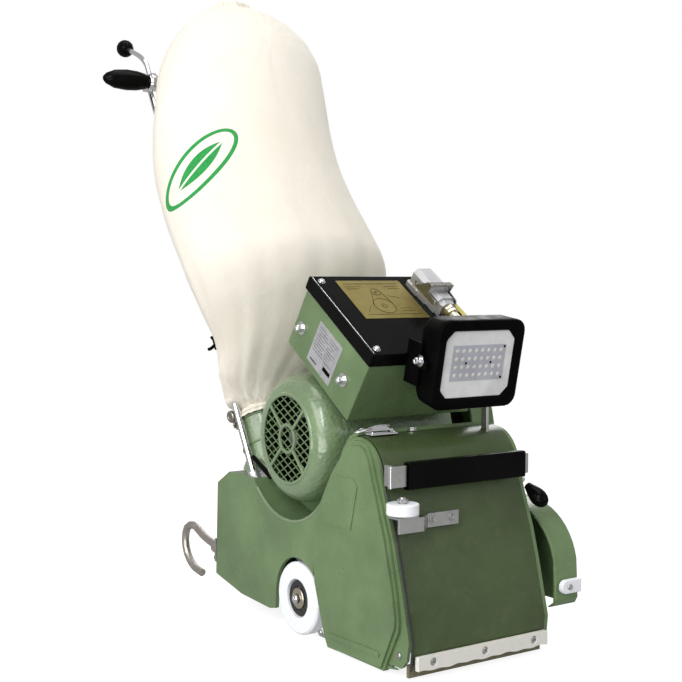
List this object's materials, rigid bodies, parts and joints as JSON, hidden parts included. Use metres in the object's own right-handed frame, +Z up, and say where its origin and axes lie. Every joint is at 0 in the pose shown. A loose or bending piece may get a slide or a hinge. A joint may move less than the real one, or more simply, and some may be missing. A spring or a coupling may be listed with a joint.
{
  "type": "drum sander",
  "caption": "Floor belt sander: drum with abrasive belt, motor, control box, work lamp, cloth dust bag on a leaning guide tube with handlebar.",
  "frame": {"origin": "on the floor, under the centre of the machine's bounding box", "axes": "+Z up, +Y back towards the operator, +X to the operator's left; the front faces -Y"},
  "size_m": [0.4004, 0.8648, 0.9569],
  "materials": {
    "green_paint": "hammered gloss enamel",
    "front_green_paint": "smooth gloss enamel",
    "machined_steel": "turned",
    "chromed_steel": "polished chrome",
    "cast_aluminium": "cast, bead blasted",
    "black_plastic": "moulded, slightly glossy",
    "matt_black": "matt",
    "white_nylon": "satin nylon",
    "drum_rubber": "ground rubber",
    "caster_rubber": "matt",
    "brown_felt": "felted strip",
    "abrasive": "coated abrasive cloth",
    "v_belt_rubber": "fabric-covered",
    "copper_windings": "varnished windings",
    "dark_iron": "machined",
    "cotton_cloth": "cream twill",
    "lamp_glass": "frosted cover"
  },
  "bodies": {
    "machine": {"machine_housing": "green_paint", "front_cover": "front_green_paint", "lid_hinge_pin": "machined_steel", "belt_guard": "green_paint", "guard_buffer": "white_nylon", "front_bumper_strip": "white_nylon", "front_seal_strip": "brown_felt", "drum_bearing": "machined_steel", "abrasive_belt": "abrasive", "drum_v_belt": "v_belt_rubber", "fan_v_belt": "v_belt_rubber", "motor_frame": "green_paint", "motor_stator": "copper_windings", "motor_fan_cover": "green_paint", "suction_duct": "green_paint", "tube_socket": "green_paint", "guide_tube": "machined_steel", "handle_bar": "machined_steel", "grip_near": "black_plastic", "grip_far": "black_plastic", "dust_bag": "cotton_cloth", "control_box_tray": "green_paint", "control_box_lid": "black_plastic", "connector_hood": "cast_aluminium", "connector_gland": "cast_aluminium", "lamp_bracket": "matt_black", "front_handle_core": "machined_steel", "front_handle_sleeve": "black_plastic", "guide_bracket": "machined_steel", "latch_base": "chromed_steel", "rear_hook": "machined_steel"},
    "side_lid": {"side_lid": "green_paint"},
    "latch": {"latch_lever": "chromed_steel"},
    "drum": {"sanding_drum": "drum_rubber", "drum_shaft": "machined_steel", "drum_pulley": "dark_iron"},
    "tension_lever": {"tension_lever": "chromed_steel", "tension_lever_knob": "black_plastic"},
    "roller_carrier": {"roller_carrier": "dark_iron"},
    "tension_roller": {"tension_roller": "cast_aluminium"},
    "motor_rotor": {"motor_rotor": "machined_steel", "motor_shaft": "machined_steel", "motor_pulley": "dark_iron", "motor_cooling_fan": "matt_black"},
    "suction_fan": {"suction_fan": "cast_aluminium", "suction_fan_shaft": "dark_iron"},
    "lift_lever": {"lift_lever": "chromed_steel", "lift_lever_ball": "black_plastic"},
    "lift_rod": {"lift_rod": "chromed_steel", "lift_link": "black_plastic"},
    "wheel_rocker": {"wheel_rocker": "dark_iron"},
    "wheel_near": {"wheel_near": "white_nylon"},
    "wheel_far": {"wheel_far": "white_nylon"},
    "caster_fork": {"caster_fork": "dark_iron"},
    "caster_wheel": {"caster_wheel": "caster_rubber"},
    "lamp": {"lamp_housing": "matt_black", "lamp_lens": "lamp_glass"},
    "guide_roller": {"guide_roller": "white_nylon"},
    "connector_latch": {"connector_latch": "cast_aluminium"},
    "main_switch": {"main_switch": "matt_black"}
  },
  "joints": [
    {"name": "side_lid_hinge", "type": "hinge", "parent": "machine", "child": "side_lid", "pos_m": [-0.10578, -0.30737, 0.013], "axis": [0, -1, 0], "range_deg": [0, 80]},
    {"name": "latch_hinge", "type": "hinge", "parent": "machine", "child": "latch", "pos_m": [-0.06378, -0.31937, 0.3002], "axis": [0, 1, 0], "range_deg": [0, 110]},
    {"name": "drum_spin", "type": "hinge", "parent": "machine", "child": "drum", "pos_m": [0.00822, -0.30837, 0.093], "axis": [1, 0, 0], "continuous": true},
    {"name": "roller_carrier_slide", "type": "slide", "parent": "machine", "child": "roller_carrier", "axis": [0, 0, 1], "range_m": [-0.008, 0]},
    {"name": "tension_lever_hinge", "type": "hinge", "parent": "machine", "child": "tension_lever", "pos_m": [0.13322, -0.31737, 0.243], "axis": [1, 0, 0], "range_deg": [-81, 0]},
    {"name": "tension_roller_spin", "type": "hinge", "parent": "roller_carrier", "child": "tension_roller", "pos_m": [0.00822, -0.31337, 0.243], "axis": [1, 0, 0], "continuous": true},
    {"name": "motor_spin", "type": "hinge", "parent": "machine", "child": "motor_rotor", "pos_m": [0.00822, -0.14237, 0.272], "axis": [1, 0, 0], "continuous": true},
    {"name": "suction_fan_spin", "type": "hinge", "parent": "machine", "child": "suction_fan", "pos_m": [0.00822, -0.05737, 0.112], "axis": [1, 0, 0], "continuous": true},
    {"name": "lift_lever_hinge", "type": "hinge", "parent": "machine", "child": "lift_lever", "pos_m": [-0.10168, 0.30417, 0.82356], "axis": [1, 0, 0], "range_deg": [-27.9, 0]},
    {"name": "lift_rod_slide", "type": "slide", "parent": "machine", "child": "lift_rod", "axis": [0, 0.4909, 0.8712], "range_m": [-0.0075, 0]},
    {"name": "wheel_rocker_hinge", "type": "hinge", "parent": "machine", "child": "wheel_rocker", "pos_m": [0.00822, -0.02587, 0.0646], "axis": [1, 0, 0], "range_deg": [0, 6.2]},
    {"name": "wheel_near_spin", "type": "hinge", "parent": "wheel_rocker", "child": "wheel_near", "pos_m": [-0.09778, -0.16837, 0.051], "axis": [1, 0, 0], "continuous": true},
    {"name": "wheel_far_spin", "type": "hinge", "parent": "wheel_rocker", "child": "wheel_far", "pos_m": [0.11422, -0.16837, 0.051], "axis": [1, 0, 0], "continuous": true},
    {"name": "caster_swivel", "type": "hinge", "parent": "machine", "child": "caster_fork", "pos_m": [0.00822, 0.00763, 0.06], "axis": [0, 0, 1], "continuous": true},
    {"name": "caster_wheel_spin", "type": "hinge", "parent": "caster_fork", "child": "caster_wheel", "pos_m": [0.00822, 0.02563, 0.028], "axis": [1, 0, 0], "continuous": true},
    {"name": "lamp_tilt", "type": "hinge", "parent": "machine", "child": "lamp", "pos_m": [0.03822, -0.35937, 0.389], "axis": [1, 0, 0], "range_deg": [-9, 8]},
    {"name": "guide_roller_spin", "type": "hinge", "parent": "machine", "child": "guide_roller", "pos_m": [-0.10178, -0.40137, 0.212], "axis": [0, 0, 1], "continuous": true},
    {"name": "connector_latch_hinge", "type": "hinge", "parent": "machine", "child": "connector_latch", "pos_m": [0.07322, -0.26423, 0.46469], "axis": [1, 0, 0], "range_deg": [0, 70]},
    {"name": "main_switch_turn", "type": "hinge", "parent": "machine", "child": "main_switch", "pos_m": [-0.02178, -0.14363, 0.44657], "axis": [0, 0.83, 0.5577], "range_deg": [0, 90]}
  ],
  "couplings": [
    {"joint": "tension_roller_spin", "follows": "drum_spin", "ratio": 2.2415},
    {"joint": "motor_spin", "follows": "drum_spin", "ratio": 1.1583},
    {"joint": "suction_fan_spin", "follows": "drum_spin", "ratio": 2.5891},
    {"joint": "tension_lever_hinge", "follows": "roller_carrier_slide", "rad_per_m": 174.53},
    {"joint": "lift_rod_slide", "follows": "lift_lever_hinge", "m_per_rad": 0.015},
    {"joint": "wheel_rocker_hinge", "follows": "lift_lever_hinge", "ratio": -0.21429}
  ]
}
